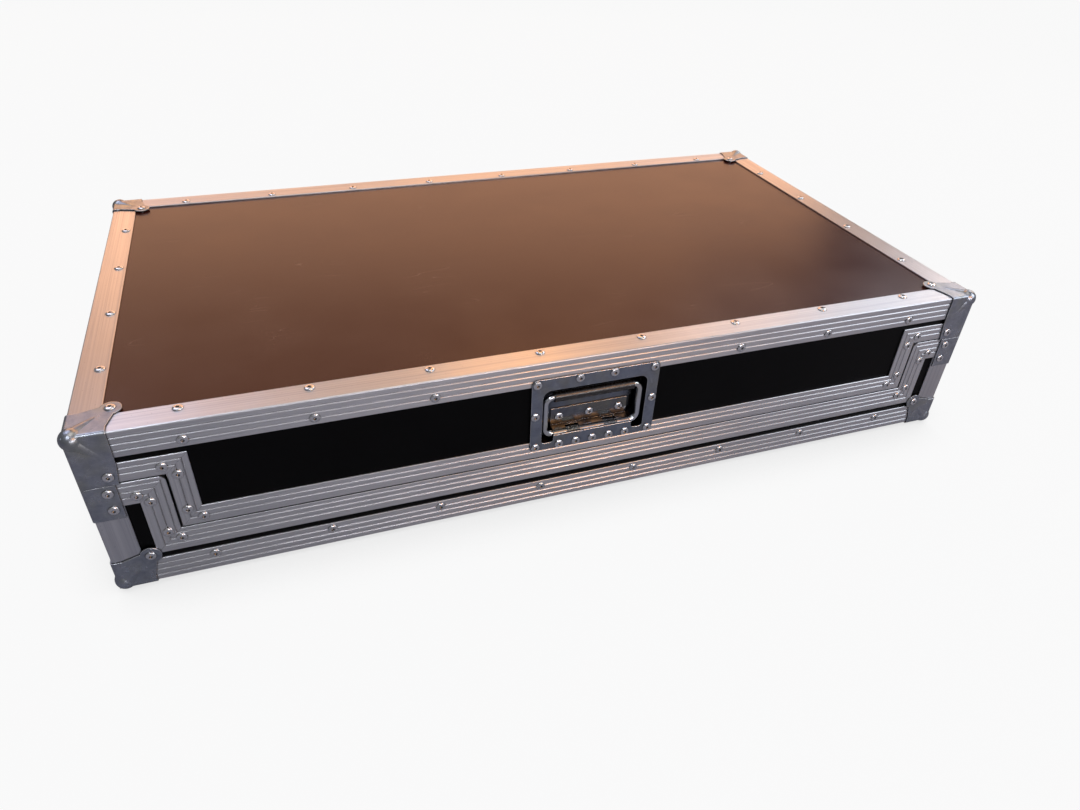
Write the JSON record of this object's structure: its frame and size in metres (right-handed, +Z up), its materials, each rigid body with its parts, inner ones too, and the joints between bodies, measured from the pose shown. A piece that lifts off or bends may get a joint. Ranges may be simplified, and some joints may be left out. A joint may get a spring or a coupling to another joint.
{
  "type": "flight case",
  "caption": "Low plywood flight case with aluminium edges, steel ball corners, a back-hinged lid that drops down the front, a sprung recessed handle and side twist latches.",
  "frame": {"origin": "on the floor under the middle of the closed case's box", "axes": "+X along the case's width to the right as seen from the handle, +Y from the handle side to the hinges, +Z up"},
  "size_m": [0.974, 0.5527, 0.19],
  "materials": {
    "brown_ply": "satin",
    "black_ply": "satin",
    "extruded_aluminium": "satin",
    "zinc_steel": "satin",
    "spring_steel": "satin",
    "rivet_aluminium": "polished",
    "grip_rubber": "matte",
    "grey_foam": "matte"
  },
  "bodies": {
    "base": {"base_floor_panel": "brown_ply", "base_front_panel": "black_ply", "base_back_panel": "black_ply", "base_left_panel": "black_ply", "base_right_panel": "black_ply", "base_front_angle": "extruded_aluminium", "base_back_angle": "extruded_aluminium", "base_left_angle": "extruded_aluminium", "base_right_angle": "extruded_aluminium", "base_corner_posts": "extruded_aluminium", "base_front_seam_profile": "extruded_aluminium", "base_back_seam_profile": "extruded_aluminium", "base_left_seam_profile": "extruded_aluminium", "base_right_seam_profile": "extruded_aluminium", "base_ball_corners": "zinc_steel", "base_corner_braces": "zinc_steel", "base_rivets": "rivet_aluminium", "floor_foam_pad": "grey_foam", "left_foam_pad": "grey_foam", "right_foam_pad": "grey_foam", "back_foam_pad": "grey_foam", "hinge_base_leaves": "zinc_steel", "hinge_pins": "zinc_steel", "latch_base_dishes": "zinc_steel", "latch_spindles": "zinc_steel"},
    "lid": {"lid_top_panel": "brown_ply", "lid_front_panel": "black_ply", "lid_back_panel": "black_ply", "lid_left_panel": "black_ply", "lid_right_panel": "black_ply", "lid_front_angle": "extruded_aluminium", "lid_back_angle": "extruded_aluminium", "lid_left_angle": "extruded_aluminium", "lid_right_angle": "extruded_aluminium", "lid_front_seam_profile": "extruded_aluminium", "lid_back_seam_profile": "extruded_aluminium", "lid_left_seam_profile": "extruded_aluminium", "lid_right_seam_profile": "extruded_aluminium", "lid_ball_corners": "zinc_steel", "lid_rivets": "rivet_aluminium", "lid_foam": "grey_foam", "handle_dish": "zinc_steel", "handle_hinge_plate": "zinc_steel", "handle_springs": "spring_steel", "handle_rivets": "rivet_aluminium", "hinge_lid_leaves": "zinc_steel", "latch_lid_dishes": "zinc_steel", "latch_keepers": "zinc_steel"},
    "handle": {"handle_bail": "zinc_steel", "handle_grip": "grip_rubber"},
    "latch_left": {"latch_left_hub": "zinc_steel", "latch_left_claw": "zinc_steel", "latch_left_wing_pin": "zinc_steel"},
    "latch_right": {"latch_right_hub": "zinc_steel", "latch_right_claw": "zinc_steel", "latch_right_wing_pin": "zinc_steel"},
    "latch_left_wing": {"latch_left_wing": "zinc_steel"},
    "latch_right_wing": {"latch_right_wing": "zinc_steel"}
  },
  "joints": [
    {"name": "lid_hinge", "type": "hinge", "parent": "base", "child": "lid", "pos_m": [0, 0.2724, 0.1297], "axis": [-1, 0, 0], "range_deg": [0, 105]},
    {"name": "handle_swing", "type": "hinge", "parent": "lid", "child": "handle", "pos_m": [0, -0.2671, 0.092], "axis": [1, 0, 0], "range_deg": [0, 90], "stiffness_Nm_per_rad": 0.5, "springref_deg": -28.65},
    {"name": "latch_left_turn", "type": "hinge", "parent": "base", "child": "latch_left", "pos_m": [-0.4765, -0.1069, 0.1125], "axis": [1, 0, 0], "range_deg": [0, 90]},
    {"name": "latch_right_turn", "type": "hinge", "parent": "base", "child": "latch_right", "pos_m": [0.4765, -0.1069, 0.1125], "axis": [1, 0, 0], "range_deg": [0, 90]},
    {"name": "latch_left_fold", "type": "hinge", "parent": "latch_left", "child": "latch_left_wing", "pos_m": [-0.47955, -0.1069, 0.1125], "axis": [0, 1, 0], "range_deg": [0, 90]},
    {"name": "latch_right_fold", "type": "hinge", "parent": "latch_right", "child": "latch_right_wing", "pos_m": [0.47955, -0.1069, 0.1125], "axis": [0, -1, 0], "range_deg": [0, 90]}
  ]
}
